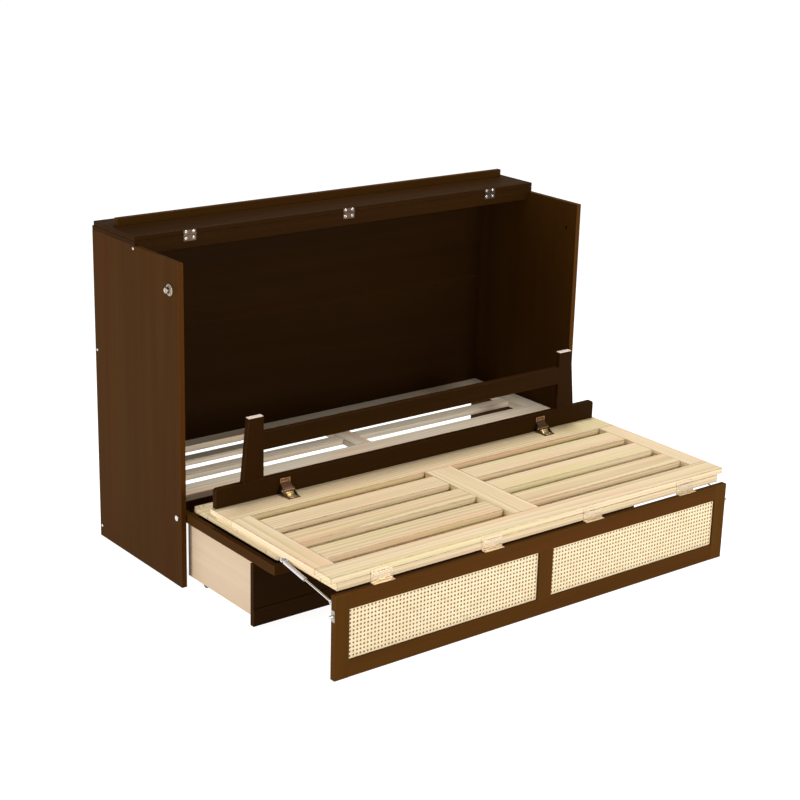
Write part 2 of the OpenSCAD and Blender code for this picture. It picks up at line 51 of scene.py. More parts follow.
class Graph:
    """A material's node tree, with one call for each node."""

    def __init__(self, name):
        self.material = bpy.data.materials.new(name)
        self.material.use_nodes = True
        self.tree = self.material.node_tree
        self.tree.nodes.clear()
        self.shader = self.add("ShaderNodeBsdfPrincipled")
        output = self.add("ShaderNodeOutputMaterial")
        self.tree.links.new(self.shader.outputs["BSDF"], output.inputs["Surface"])

    def add(self, kind, values=None, **settings):
        """Adds a node. values maps an input's name or number to a constant or to a socket."""
        made = self.tree.nodes.new(kind)
        for key, value in settings.items():
            setattr(made, key, value)
        for key, value in (values or {}).items():
            self.put(made.inputs[key], value)
        return made

    def put(self, socket, value):
        if isinstance(value, bpy.types.NodeSocket):
            self.tree.links.new(value, socket)
        else:
            socket.default_value = value

    def set(self, name, value):
        self.put(self.shader.inputs[name], value)

    def maths(self, operation, a, b=0.0, clamp=False):
        made = self.add("ShaderNodeMath", {0: a, 1: b}, operation=operation)
        made.use_clamp = clamp
        return made.outputs[0]

    def vector(self, operation, a, b):
        return self.add("ShaderNodeVectorMath", {0: a, 1: b}, operation=operation).outputs[0]

    def scaled(self, a, amount):
        made = self.add("ShaderNodeVectorMath", {0: a}, operation="SCALE")
        self.put(made.inputs["Scale"], amount)
        return made.outputs[0]

    def span(self, value, low, high, to_low=0.0, to_high=1.0):
        """value from low..high to to_low..to_high, clamped."""
        return self.add("ShaderNodeMapRange", {
            "Value": value, "From Min": low, "From Max": high,
            "To Min": to_low, "To Max": to_high}).outputs["Result"]

    def mix(self, factor, a, b, blend="MIX"):
        made = self.add("ShaderNodeMix", data_type="RGBA", blend_type=blend)
        self.put(made.inputs["Factor"], factor)
        self.put(made.inputs["A"], a)
        self.put(made.inputs["B"], b)
        return made.outputs["Result"]

    def ramp(self, value, stops):
        made = self.add("ShaderNodeValToRGB", {"Fac": value})
        points = made.color_ramp.elements
        while len(points) < len(stops):
            points.new(0.5)
        for point, (place, colour) in zip(points, stops):
            point.position = place
            point.color = (*colour, 1)
        return made.outputs["Color"]

    def noise(self, where, scale, detail=3.0, rough=0.5):
        made = self.add("ShaderNodeTexNoise", {
            "Vector": where, "Scale": scale, "Detail": detail, "Roughness": rough})
        return made.outputs["Fac"], made.outputs["Color"]

    def bump(self, height, strength, distance, under=None):
        values = {"Height": height, "Strength": strength, "Distance": distance}
        if under is not None:
            values["Normal"] = under
        return self.add("ShaderNodeBump", values).outputs["Normal"]

    def own_place(self):
        """Object coordinates, moved by a different amount on each separate board or strand."""
        place = self.add("ShaderNodeTexCoord").outputs["Object"]
        island = self.add("ShaderNodeNewGeometry").outputs["Random Per Island"]
        return self.vector("ADD", place, self.scaled((1.7, 2.9, 2.3), island)), island


def rgba(r, g, b):
    return (r, g, b, 1)


# ------------------------------------------------------------------ materials

# How much the figure and the fibres of wood are squeezed along the grain
FIGURE_SQUEEZE = 0.045
FIBRE_SQUEEZE = 0.012
# A ring wave repeats every RING_WAVE / scale metres
RING_WAVE = 0.314


def wood(name, axis, tones, ring_gap, fibre_depth, rough, bump_depth,
         specular=0.5, ring_share=0.42, patches=(), edge_wear_and_shade=None, edge_mark_width=2.2 * MM,
         edge_mark_from=0.995, edge_mark_full=0.8, knots=None):
    """Planed wood whose grain runs along axis. tones go from late wood to early wood."""
    g = Graph(name)
    place, island = g.own_place()
    across = [1.0, 1.0, 1.0]
    across[AXES[axis]] = FIGURE_SQUEEZE
    stretched = g.vector("MULTIPLY", place, tuple(across))

    _, swirl = g.noise(stretched, scale=5.5, detail=2.0)
    centred = g.vector("SUBTRACT", swirl, (0.5, 0.5, 0.5))
    bent = g.vector("ADD", stretched, g.scaled(centred, 0.085))
    rings = g.add("ShaderNodeTexWave", {
        "Vector": bent, "Scale": RING_WAVE / ring_gap, "Distortion": 1.4, "Detail": 2.0,
        "Detail Scale": 1.3}, wave_type="RINGS", rings_direction=axis.upper(),
        wave_profile="SAW").outputs["Fac"]

    fine = [1.0, 1.0, 1.0]
    fine[AXES[axis]] = FIBRE_SQUEEZE
    fibre, _ = g.noise(g.vector("MULTIPLY", place, tuple(fine)), 620.0, 2.0, 0.65)
    broad, _ = g.noise(stretched, scale=16.0, detail=3.0)

    tone = g.maths("ADD", g.maths("MULTIPLY", rings, ring_share),
                   g.maths("MULTIPLY", broad, 1 - ring_share))
    tone = g.maths("ADD", tone, g.maths("MULTIPLY", g.maths("SUBTRACT", fibre, 0.5), fibre_depth))
    tone = g.maths("ADD", tone, g.maths("MULTIPLY", g.maths("SUBTRACT", island, 0.5), 0.16))
    colour = g.ramp(tone, [(0.15, tones[0]), (0.5, tones[1]), (0.85, tones[2])])

    for index, (tint, size, amount) in enumerate(patches):
        spot, _ = g.noise(g.vector("ADD", stretched, (3.0 * index + 1.0, 5.0, 2.0)), size, 2.0)
        colour = g.mix(g.span(spot, 0.54, 0.7, 0.0, amount), colour, rgba(*tint))

    if knots:
        squeezed = [1.0, 1.0, 1.0]
        squeezed[AXES[axis]] = 0.5
        unstretch = tuple(1 / a * s for a, s in zip(across, squeezed))
        cell = g.add("ShaderNodeTexVoronoi", {
            "Vector": g.vector("MULTIPLY", bent, unstretch), "Scale": 3.4})
        knot = g.span(cell.outputs["Distance"], 0.018, 0.042, 1.0, 0.0)
        colour = g.mix(g.maths("MULTIPLY", knot, 0.75), colour, rgba(*knots))

    # Edge colour: on the stained boards a lighter tone, rubbed wear; on the pine and ash frames a
    # dark tone, painted shade along slot edges and seams; on the drawer boards darker along the
    # edges
    if edge_wear_and_shade:
        # Along sharp edges the rounded normal differs from the flat one
        soft = g.add("ShaderNodeBevel", {"Radius": edge_mark_width}, samples=4).outputs["Normal"]
        flat = g.add("ShaderNodeNewGeometry").outputs["Normal"]
        dot = g.add("ShaderNodeVectorMath", {0: soft, 1: flat}, operation="DOT_PRODUCT")
        alike = dot.outputs["Value"]
        edge_patches, _ = g.noise(place, scale=34.0, detail=3.0, rough=0.6)
        edge = g.maths("MULTIPLY", g.span(alike, edge_mark_from, edge_mark_full),
                       g.span(edge_patches, 0.3, 0.7, 0.35, 1.0))
        colour = g.mix(g.maths("MULTIPLY", edge, 0.85), colour, rgba(*edge_wear_and_shade))

    g.set("Base Color", colour)
    shine, _ = g.noise(stretched, scale=40.0, detail=3.0)
    g.set("Roughness", g.span(g.maths("ADD", shine, g.maths("MULTIPLY", fibre, 0.3)),
                              0.4, 0.9, rough - 0.07, rough + 0.08))
    g.set("Specular IOR Level", specular)
    g.set("Normal", g.bump(fibre, 0.5, bump_depth, g.bump(rings, 0.25, bump_depth)))
    return g.material


DARK_TONES = [(0.053, 0.0190, 0.0020), (0.066, 0.0250, 0.0030), (0.079, 0.0320, 0.0042)]
PINE_TONES = [(0.47, 0.34, 0.18), (0.67, 0.52, 0.32), (0.76, 0.625, 0.42)]
ASH_TONES = [(0.46, 0.375, 0.26), (0.70, 0.60, 0.46), (0.82, 0.72, 0.57)]
BOARD_TONES = [(0.47, 0.345, 0.23), (0.50, 0.375, 0.255), (0.54, 0.415, 0.29)]


def stained(name, axis, depth=1.0):
    """Dark stain. A lower depth darkens the same stain to paint in shade, for boards that stand in
    shade.
    """
    tones = [tuple(c * depth for c in tone) for tone in DARK_TONES]
    red = (0.082 * depth, 0.021 * depth, 0.004 * depth)
    return wood(name, axis, tones, 0.011, 0.3, 0.56, 0.00004, specular=0.02, ring_share=0.12,
                patches=[(red, 12.0, 0.35)], edge_wear_and_shade=(0.15, 0.042, 0.010))


def pine(name, axis):
    # Its dark edge colour is painted shade along slot edges and seams
    return wood(name, axis, PINE_TONES, 0.0095, 0.26, 0.5, 0.00007, specular=0.25,
                patches=[((0.74, 0.44, 0.27), 30.0, 0.55), ((0.60, 0.55, 0.22), 22.0, 0.5)],
                knots=(0.25, 0.12, 0.045), edge_wear_and_shade=(0.10, 0.05, 0.018), edge_mark_width=4.5 * MM,
                edge_mark_from=0.999, edge_mark_full=0.93)


def ash(name, axis):
    # Its dark edge colour is painted shade along slot edges and seams
    return wood(name, axis, ASH_TONES, 0.010, 0.26, 0.52, 0.00007, specular=0.3,
                patches=[((0.74, 0.46, 0.27), 34.0, 0.75), ((0.36, 0.38, 0.33), 24.0, 0.6)],
                knots=(0.2, 0.11, 0.05), edge_wear_and_shade=(0.13, 0.075, 0.03), edge_mark_width=3.5 * MM,
                edge_mark_from=0.999, edge_mark_full=0.93)


def laminated(name, axis):
    return wood(name, axis, BOARD_TONES, 0.016, 0.5, 0.55, 0.00004, specular=0.3, ring_share=0.1,
                patches=[((0.56, 0.41, 0.31), 25.0, 0.4)], edge_wear_and_shade=(0.22, 0.13, 0.07))


def metal(name, colour, dull, rough, smudge=0.1, scratches=0.4, brushed=None):
    """Plated or bare metal, with finer scratches and duller smudges."""
    g = Graph(name)
    place, _ = g.own_place()
    cloud, _ = g.noise(place, scale=160.0, detail=4.0, rough=0.6)
    stretch = [1.0, 1.0, 1.0]
    if brushed:
        stretch[AXES[brushed]] = 0.05
    line, _ = g.noise(g.vector("MULTIPLY", place, tuple(stretch)), 2600.0, 2.0, 0.7)
    tarnish = g.span(cloud, 0.45, 0.75)
    g.set("Base Color", g.mix(tarnish, rgba(*colour), rgba(*dull)))
    g.set("Metallic", 1.0)
    g.set("Roughness", g.maths("ADD", g.maths("MULTIPLY", tarnish, smudge),
                               g.span(line, 0.3, 0.7, rough - 0.05, rough + 0.07)))
    g.set("Normal", g.bump(line, scratches, 0.00002))
    return g.material


def plastic(name, colour, rough, grain=900.0, specular=0.45):
    """Moulded plastic with a fine spark texture and a little scuffing."""
    g = Graph(name)
    place, _ = g.own_place()
    pits, _ = g.noise(place, grain, 3.0, 0.7)
    scuff, _ = g.noise(place, scale=70.0, detail=4.0, rough=0.65)
    lighter = tuple(min(1.0, c * 1.25 + 0.02) for c in colour)
    g.set("Base Color", g.mix(g.span(scuff, 0.5, 0.8, 0.0, 0.6), rgba(*colour), rgba(*lighter)))
    g.set("Roughness", g.span(pits, 0.3, 0.7, rough - 0.06, rough + 0.1))
    g.set("Specular IOR Level", specular)
    g.set("Normal", g.bump(pits, 0.35, 0.00005))
    return g.material


def enamel(name, colour):
    """Sprayed enamel on steel, with slight orange peel."""
    g = Graph(name)
    place, _ = g.own_place()
    peel, _ = g.noise(place, scale=420.0, detail=2.0)
    dust, _ = g.noise(place, scale=45.0, detail=4.0, rough=0.7)
    darker = tuple(c * 0.8 for c in colour)
    g.set("Base Color", g.mix(g.span(dust, 0.5, 0.8, 0.0, 0.5), rgba(*colour), rgba(*darker)))
    g.set("Metallic", 0.25)
    g.set("Roughness", g.span(dust, 0.3, 0.8, 0.26, 0.42))
    g.set("Coat Weight", 0.3)
    g.set("Normal", g.bump(peel, 0.25, 0.00008))
    return g.material


def cane_fibre(name):
    """Split cane: glossy outer bark, streaked, each strand a little different."""
    g = Graph(name)
    place, island = g.own_place()
    streak, _ = g.noise(place, scale=210.0, detail=4.0, rough=0.7)
    cloud, _ = g.noise(place, scale=9.0, detail=3.0)
    tone = g.maths("ADD", g.maths("MULTIPLY", streak, 0.45), g.maths("MULTIPLY", cloud, 0.35))
    tone = g.maths("ADD", tone, g.maths("MULTIPLY", island, 0.25))
    g.set("Base Color", g.ramp(tone, [(0.25, (0.72, 0.53, 0.29)), (0.5, (0.86, 0.70, 0.44)),
                                      (0.75, (0.93, 0.80, 0.56))]))
    g.set("Roughness", g.span(streak, 0.3, 0.7, 0.38, 0.55))
    g.set("Specular IOR Level", 0.45)
    g.set("Normal", g.bump(streak, 0.4, 0.0001))
    return g.material


# The one stain at full depth, and darker copies of it that are painted shade for groups of boards
# standing in shade
DARK = {axis: stained("dark_stained_wood_" + axis, axis) for axis in "xyz"}
SHADED_STAIN = {axis: stained("shaded_stain_wood_" + axis, axis, 0.66) for axis in "xyz"}
DARKEST_SHADE_STAIN = {"x": stained("darkest_shade_stain_wood_x", "x", 0.24)}
LEG_SHADE_STAIN = {axis: stained("leg_shade_stain_wood_" + axis, axis, 0.32) for axis in "xz"}
TOP_SHADE_STAIN = {"x": stained("top_shade_stain_wood_x", "x", 0.36)}
# The stain at full depth for the side panels' front edges, left out of the painted shade on the rest
# of the panel
UNSHADED_EDGE_STAIN = stained("unshaded_edge_stain_z", "z", 1.0)
LIGHT = {axis: pine("planed_pine_" + axis, axis) for axis in "xyz"}
GREY = {axis: ash("head_frame_pine_" + axis, axis) for axis in "xyz"}
BOARD = {axis: laminated("drawer_board_" + axis, axis) for axis in "xyz"}
LATCH = metal("latch_nickel", (0.40, 0.35, 0.28), (0.25, 0.21, 0.16), 0.42)
NICKEL = metal("nickel_plate", (0.74, 0.72, 0.68), (0.52, 0.50, 0.46), 0.26, brushed="x")
HINGE = metal("pale_brass_plate", (0.80, 0.66, 0.47), (0.58, 0.46, 0.31), 0.44, brushed="x")
# A darkened copy of the plate metal, painted shade, for the lid hinges' leaves and the corner screws
SHADOW_NICKEL = metal("shadowed_hinge_plate", (0.12, 0.085, 0.06), (0.06, 0.04, 0.028), 0.36)
DULL = metal("dull_nickel", (0.40, 0.36, 0.31), (0.24, 0.20, 0.165), 0.36)
SCREW = metal("bright_screw", (0.86, 0.82, 0.76), (0.62, 0.57, 0.5), 0.2)
RIM = metal("rubbed_bronze", (0.55, 0.37, 0.21), (0.30, 0.18, 0.10), 0.3)
GOLD = metal("worn_gilt", (0.66, 0.52, 0.27), (0.36, 0.25, 0.11), 0.34, 0.15, 0.5)
BRONZE = metal("antique_bronze", (0.21, 0.115, 0.06), (0.09, 0.045, 0.025), 0.36, 0.2, 0.6)
ROD = metal("polished_rod", (0.82, 0.82, 0.83), (0.66, 0.66, 0.68), 0.1, 0.05, 0.2, "y")
ENAMEL = enamel("pale_grey_enamel", (0.60, 0.58, 0.60))
GLIDE = plastic("glide_nylon", (0.62, 0.50, 0.43), 0.5)
CASTER = plastic("caster_nylon", (0.018, 0.018, 0.019), 0.42)
CANE = cane_fibre("woven_cane")
# A dark finish for the sheet behind the cane, painted shade seen through its holes
SHADE_SHEET_FINISH = plastic("painted_shade_sheet", (0.22, 0.135, 0.065), 0.9, 1800.0, 0.05)


# ----------------------------------------------------- finishes on CAD nodes

# Boards given the darker copies of the stain carry painted shade
FINISH = {
    "side_panel_left": SHADED_STAIN, "side_panel_right": SHADED_STAIN, "back_panels": DARKEST_SHADE_STAIN, "fixed_top": TOP_SHADE_STAIN,
    "top_apron": TOP_SHADE_STAIN, "rear_rails": DARK, "head_ledgers": DARK, "front_cross_rail": SHADED_STAIN,
    "lid_panel": TOP_SHADE_STAIN, "lid_batten": SHADED_STAIN,
    "mid_side_rails": SHADED_STAIN, "mid_front_rail": SHADED_STAIN, "mid_underside_board": SHADED_STAIN,
    "leg_board": LEG_SHADE_STAIN, "legs": LEG_SHADE_STAIN, "leg_stretcher": LEG_SHADE_STAIN,
    "panel_rails": DARK, "panel_stiles": DARK, "drawer_front": TOP_SHADE_STAIN, "drawer_kick_rail": TOP_SHADE_STAIN,
    "head_frame_rails": GREY, "head_frame_slats": GREY,
    "mid_deck": LIGHT, "mid_frame_rails": LIGHT, "mid_frame_slats": LIGHT,
    "foot_frame_rails": LIGHT, "foot_frame_slats": LIGHT,
    "drawer_sides": BOARD, "drawer_back": BOARD, "drawer_bottom": BOARD,
    "leg_bracket_bases": BRONZE, "leg_bracket_leaves": BRONZE,
    "leg_glides": GLIDE, "caster_forks": CASTER, "cane_webbing": CANE,
    "gas_spring_upper_studs": ENAMEL, "gas_spring_lower_studs": DULL,
    "foot_hinge_lower_leaves": HINGE, "foot_hinge_upper_leaves": HINGE,
    "panel_hinge_upper_leaves": HINGE, "panel_hinge_lower_leaves": HINGE,
    "lid_hinge_fixed_leaves": SHADOW_NICKEL, "lid_hinge_moving_leaves": SHADOW_NICKEL,
    "latch_escutcheons": DULL, "lock_bolt_plates": DULL,
}
GRAIN = {"side_panel_left": "z", "side_panel_right": "z", "back_panels": "x", "fixed_top": "x",
         "lid_panel": "x", "drawer_bottom": "x", "mid_underside_board": "x"}
for side in ("left", "right"):
    FINISH["gas_cylinder_" + side] = ENAMEL
    FINISH["gas_rod_" + side] = ROD
    for end in ("front", "rear"):
        FINISH[f"caster_wheel_{end}_{side}"] = CASTER

SOFT_EDGE = {"wood": 1.1 * MM, "metal": 0.25 * MM, "plastic": 0.6 * MM}


def soften(obj, width):
    """Rounds a CAD node's sharp edges and shades its flat faces flat, by modifiers alone."""
    weld = obj.modifiers.new("weld", "WELD")
    weld.merge_threshold = 0.01 * MM
    flatten = obj.modifiers.new("flat faces", "DECIMATE")
    flatten.decimate_type = "DISSOLVE"
    flatten.angle_limit = math.radians(0.5)
    bevel = obj.modifiers.new("edges", "BEVEL")
    bevel.width = width
    bevel.segments = 2
    bevel.limit_method = "ANGLE"
    bevel.angle_limit = math.radians(38)
    bevel.use_clamp_overlap = True
    split = obj.modifiers.new("corners", "EDGE_SPLIT")
    split.split_angle = math.radians(46)
    shade = obj.modifiers.new("shading", "WEIGHTED_NORMAL")
    shade.weight = 100


def boards(mesh):
    """Lists of face numbers, one list for each separate solid in the mesh."""
    spot = {}
    owner = list(range(len(mesh.vertices)))

    def root(i):
        while owner[i] != i:
            owner[i] = owner[owner[i]]
            i = owner[i]
        return i

    for i, vertex in enumerate(mesh.vertices):
        key = tuple(round(c / (0.02 * MM)) for c in vertex.co)
        owner[i] = root(spot.setdefault(key, i))
    for face in mesh.polygons:
        first = root(face.vertices[0])
        for i in face.vertices[1:]:
            owner[root(i)] = first
    groups = {}
    for face in mesh.polygons:
        groups.setdefault(root(face.vertices[0]), []).append(face.index)
    return list(groups.values())


def grain_along(mesh, faces):
    """The axis along which these faces reach furthest."""
    points = [mesh.vertices[i].co for f in faces for i in mesh.polygons[f].vertices]
    reach = [max(p[k] for p in points) - min(p[k] for p in points) for k in range(3)]
    return "xyz"[reach.index(max(reach))]


def finish_wood(name, obj, family):
    """Gives each board in the node the material whose grain runs along that board."""
    slots = []
    for faces in boards(obj.data):
        axis = GRAIN.get(name) or grain_along(obj.data, faces)
        material = family.get(axis) or family["x"]
        if material not in slots:
            slots.append(material)
            obj.data.materials.append(material)
        for f in faces:
            obj.data.polygons[f].material_index = slots.index(material)
    # The front edge face keeps the full stain, lighter than the painted shade on the panel's other
    # faces
    if name.startswith("side_panel"):
        obj.data.materials.append(UNSHADED_EDGE_STAIN)
        front = min(v.co.y for v in obj.data.vertices)
        for face in obj.data.polygons:
            if face.normal.y < -0.99 and abs(face.center.y - front) < MM:
                face.material_index = len(slots)


for name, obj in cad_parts.items():
    finish = FINISH.get(name, NICKEL)
    obj.data.materials.clear()
    for face in obj.data.polygons:
        face.use_smooth = True
    if isinstance(finish, dict):
        finish_wood(name, obj, finish)
        soften(obj, SOFT_EDGE["wood"])
        continue
    obj.data.materials.append(finish)
    soften(obj, SOFT_EDGE["plastic" if finish in (GLIDE, CASTER) else "metal"])


# ---------------------------------------------------------------- mesh pieces

def mesh_piece(name, points, faces, material, smooth=True):
    mesh = bpy.data.meshes.new(name)
    mesh.from_pydata(points, [], faces)
    mesh.validate()
    mesh.materials.append(material)
    for face in mesh.polygons:
        face.use_smooth = smooth
    obj = bpy.data.objects.new(name, mesh)
    bpy.context.scene.collection.objects.link(obj)
    return obj


def ribbon(points, faces, line, sideways, width, thick):
    """Adds a strand of lens-shaped section along line to points and faces. Outward is -Y."""
    start = len(points)
    section = [(-0.5, 0.0), (-0.28, 0.42), (0.28, 0.42), (0.5, 0.0), (0.28, -0.3), (-0.28, -0.3)]
    count = len(section)
    for centre in line:
        for across, out in section:
            points.append(centre + sideways * (across * width) + Vector((0, -out * thick, 0)))
    for step in range(len(line) - 1):
        for k in range(count):
            a = start + step * count + k
            b = start + step * count + (k + 1) % count
            faces.append((a, b, b + count, a + count))
    faces.append(tuple(start + k for k in range(count)))
    last = start + (len(line) - 1) * count
    faces.append(tuple(last + k for k in reversed(range(count))))


# The webbing: pairs of upright and level strands, and single strands along both diagonals
WEAVE_PITCH = 12.8 * MM
PAIR_GAP = 1.55 * MM
STRAND_W = 2.9 * MM
DIAGONAL_W = 2.9 * MM
STRAND_T = 0.7 * MM
# Each layer's depth from the sheet's middle (+ is to the back) and how far its strands wave
UPRIGHT_DEPTH, UPRIGHT_SWING = 0.25 * MM, 0.12 * MM
LEVEL_DEPTH, LEVEL_SWING = -0.15 * MM, 0.18 * MM
DIAGONAL_SWING = 0.16 * MM
QUARTER_WAVE = 1.57
CENTRE_STILE_EDGE = 28.2 * MM


def clipped_diagonal(x0, x1, z0, z1, offset, slope):
    """Ends of the line z = slope * x + offset inside the rectangle, or None."""
    found = []
    for x in (x0, x1):
        z = slope * x + offset
        if z0 <= z <= z1:
            found.append((x, z))
    for z in (z0, z1):
        x = (z - offset) / slope
        if x0 < x < x1:
            found.append((x, z))
    found.sort()
    if len(found) < 2 or found[-1][0] - found[0][0] < 2 * MM:
        return None
    return found[0], found[-1]


def wave_line(ends, middle_y, swing, phase):
    """Points from one end to the other that rise and fall by swing twice in each pitch."""
    (xa, za), (xb, zb) = ends
    length = math.hypot(xb - xa, zb - za)
    steps = max(2, round(length / (WEAVE_PITCH / 4)))
    line = []
    for k in range(steps + 1):
        t = k / steps
        rise = swing * math.cos(2 * math.pi * t * length / WEAVE_PITCH + phase)
        line.append(Vector((xa + (xb - xa) * t, middle_y + rise, za + (zb - za) * t)))
    return line


def cane_sheet(name, low, high):
    """Woven cane that fills the opening from low to high."""
    points, faces = [], []
    x0, x1, z0, z1 = low.x, high.x, low.z, high.z
    middle = (low.y + high.y) / 2 - 0.1 * MM
    columns = round((x1 - x0) / WEAVE_PITCH)
    rows = round((z1 - z0) / WEAVE_PITCH)
    first_x = (x0 + x1 - columns * WEAVE_PITCH) / 2
    first_z = (z0 + z1 - rows * WEAVE_PITCH) / 2
    upright, level = Vector((0, 0, 1)), Vector((1, 0, 0))
    for k in range(columns + 1):
        for side in (-1, 1):
            x = first_x + k * WEAVE_PITCH + side * PAIR_GAP
            if x0 < x < x1:
                line = wave_line(((x, z0), (x, z1)), middle + UPRIGHT_DEPTH, UPRIGHT_SWING,
                                 side * QUARTER_WAVE)
                ribbon(points, faces, line, level, STRAND_W, STRAND_T)
    for k in range(rows + 1):
        for side in (-1, 1):
            z = first_z + k * WEAVE_PITCH + side * PAIR_GAP
            if z0 < z < z1:
                line = wave_line(((x0, z), (x1, z)), middle + LEVEL_DEPTH, LEVEL_SWING,
                                 side * QUARTER_WAVE)
                ribbon(points, faces, line, upright, STRAND_W, STRAND_T)
    for slope, layer in ((1, -0.55), (-1, -0.8)):
        along = Vector((1, 0, slope)).normalized()
        sideways = Vector((-along.z, 0, along.x))
        corner = first_z - slope * first_x
        for k in range(-columns - rows - 2, columns + rows + 3):
            offset = corner + (k + 0.5) * WEAVE_PITCH
            ends = clipped_diagonal(x0, x1, z0, z1, offset, slope)
            if ends:
                line = wave_line(ends, middle + layer * MM, DIAGONAL_SWING, 0.0)
                ribbon(points, faces, line, sideways, DIAGONAL_W, STRAND_T * 0.8)
    return mesh_piece(name, points, faces, CANE)


def painted_shade_sheet(name, low, high):
    """Thin dark sheet behind the webbing, painted shade for the cane's holes, slightly uneven, as
    one closed shell.
    """
    across, up = 96, 20
    thick = 0.5 * MM
    row = across + 1
    layer = row * (up + 1)
    points, faces = [], []
    for face_y, ripple in ((high.y - thick, 0.05 * MM), (high.y, 0.0)):
        for j in range(up + 1):
            for i in range(across + 1):
                bow = ripple * math.sin(9.1 * i) * math.sin(7.3 * j)
                points.append(Vector((low.x + i / across * (high.x - low.x), face_y - bow,
                                      low.z + j / up * (high.z - low.z))))
    for j in range(up):
        for i in range(across):
            k = j * row + i
            faces.append((k, k + 1, k + 1 + row, k + row))
            faces.append((layer + k, layer + k + row, layer + k + 1 + row, layer + k + 1))
    bottom = list(range(row))
    top = [up * row + i for i in range(row)]
    left = [j * row for j in range(up + 1)]
    right = [j * row + across for j in range(up + 1)]
    for edge, flip in ((bottom, False), (top, True), (left, True), (right, False)):
        for k, n in zip(edge, edge[1:]):
            rim = (n, k, k + layer, n + layer)
            faces.append(tuple(reversed(rim)) if flip else rim)
    return mesh_piece(name, points, faces, SHADE_SHEET_FINISH, smooth=False)


def cane_panels():
    low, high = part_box("cane_webbing")
    for name, a, b in (("cane_sheet_left", low.x, -CENTRE_STILE_EDGE),
                       ("cane_sheet_right", CENTRE_STILE_EDGE, high.x)):
        sheet = cane_sheet(name, Vector((a, low.y, low.z)), Vector((b, high.y, high.z)))
        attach(sheet, "cane_panel")
        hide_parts("cane_webbing")
        # A dark sheet behind each half of the webbing, painted shade for the cane's holes
        shade_behind = painted_shade_sheet(name + "_painted_shade", Vector((a, low.y, low.z)),
                                Vector((b, high.y, high.z)))
        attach(shade_behind, "cane_panel")


SCREW_CROSS_RINGS = 4        # rings of a head that its cross reaches
SCREW_CROSS_HALF = 0.13      # half the cross's width, as a share of the head's radius


def screw(name, centre, outward, radius, body, material, dome=None):
    """Domed head with a cross recess, standing on centre and facing outward."""
    rings, spokes = 7, 32
    dome = dome or 0.32 * radius
    points, faces = [Vector((0, 0, dome * 0.45))], []
    for ring in range(1, rings + 1):
        r = radius * ring / rings
        for k in range(spokes):
            a = 2 * math.pi * k / spokes
            x, y = r * math.cos(a), r * math.sin(a)
            z = dome * math.sqrt(max(0.0, 1 - (ring / rings) ** 2.4))
            in_cross = ring <= SCREW_CROSS_RINGS and min(abs(x), abs(y)) < SCREW_CROSS_HALF * radius
            points.append(Vector((x, y, z * 0.35 if in_cross else z)))
    base = len(points)
    for k in range(spokes):
        a = 2 * math.pi * k / spokes
        points.append(Vector((radius * math.cos(a), radius * math.sin(a), -0.1 * MM)))
    for k in range(spokes):
        n = (k + 1) % spokes
        faces.append((0, 1 + k, 1 + n))
        for ring in range(rings - 1):
            a, b = 1 + ring * spokes, 1 + (ring + 1) * spokes
            faces.append((a + k, b + k, b + n, a + n))
        last = 1 + (rings - 1) * spokes
        faces.append((last + k, base + k, base + n, last + n))
    faces.append(tuple(base + k for k in reversed(range(spokes))))
    turn = Vector((0, 0, 1)).rotation_difference(Vector(outward)).to_matrix().to_4x4()
    place = Matrix.Translation(Vector(centre)) @ turn
    head = mesh_piece(name, [place @ p for p in points], faces, material)
    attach(head, body)
    return head


def from_back(depth):
    """y of a depth that part.scad gives in millimetres."""
    return (CABINET_BACK - depth) * MM


HINGE_X = (-0.620, -0.207, 0.207, 0.620)
LID_HINGE_X = (-0.620, 0.0, 0.620)
LEAF_THICK = 1.5 * MM
LEAF_SCREW_R = 2.6 * MM
# Height of the screws in each leaf on a frame's end face
LEAF_Z = {"foot_hinge_lower_leaves": 284.1 * MM, "foot_hinge_upper_leaves": 298.6 * MM,
          "panel_hinge_upper_leaves": 273.8 * MM}
PANEL_LEAF_TOP = 264.0 * MM
PANEL_LEAF_SCREW_IN = 5.5 * MM


def leaf_screws():
    """Two screws in each hinge leaf on the frames and the panel."""
    jobs = [
        ("foot_hinge_lower_leaves", "front_section"),
        ("panel_hinge_upper_leaves", "front_section"),
        ("foot_hinge_upper_leaves", "foot_section"),
        ("panel_hinge_lower_leaves", "cane_panel"),
    ]
    for node, body in jobs:
        low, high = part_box(node)
        if node in LEAF_Z:
            y, z, outward = high.y - LEAF_THICK, LEAF_Z[node], (0, -1, 0)
        else:
            y, z, outward = low.y + PANEL_LEAF_SCREW_IN, PANEL_LEAF_TOP, (0, 0, 1)
        for i, x in enumerate(HINGE_X):
            for j, dx in enumerate((-0.028, 0.028)):
                screw(f"{node}_screw_{i}{j}", (x + dx, y, z), outward, LEAF_SCREW_R, body,
                      HINGE)


def lid_hinge_screws():
    """Two screws in each leaf of the lid's hinges."""
    leaf_face = 269.5
    for i, x in enumerate(LID_HINGE_X):
        for j, dx in enumerate((-0.014, 0.014)):
            for body, z in (("cabinet", 1.0576), ("lid", 1.0786)):
                centre = (x + dx, from_back(leaf_face), z)
                screw(f"lid_hinge_screw_{body}_{i}{j}", centre, (0, -1, 0), 5.0 * MM, body,
                      SCREW, 1.2 * MM)


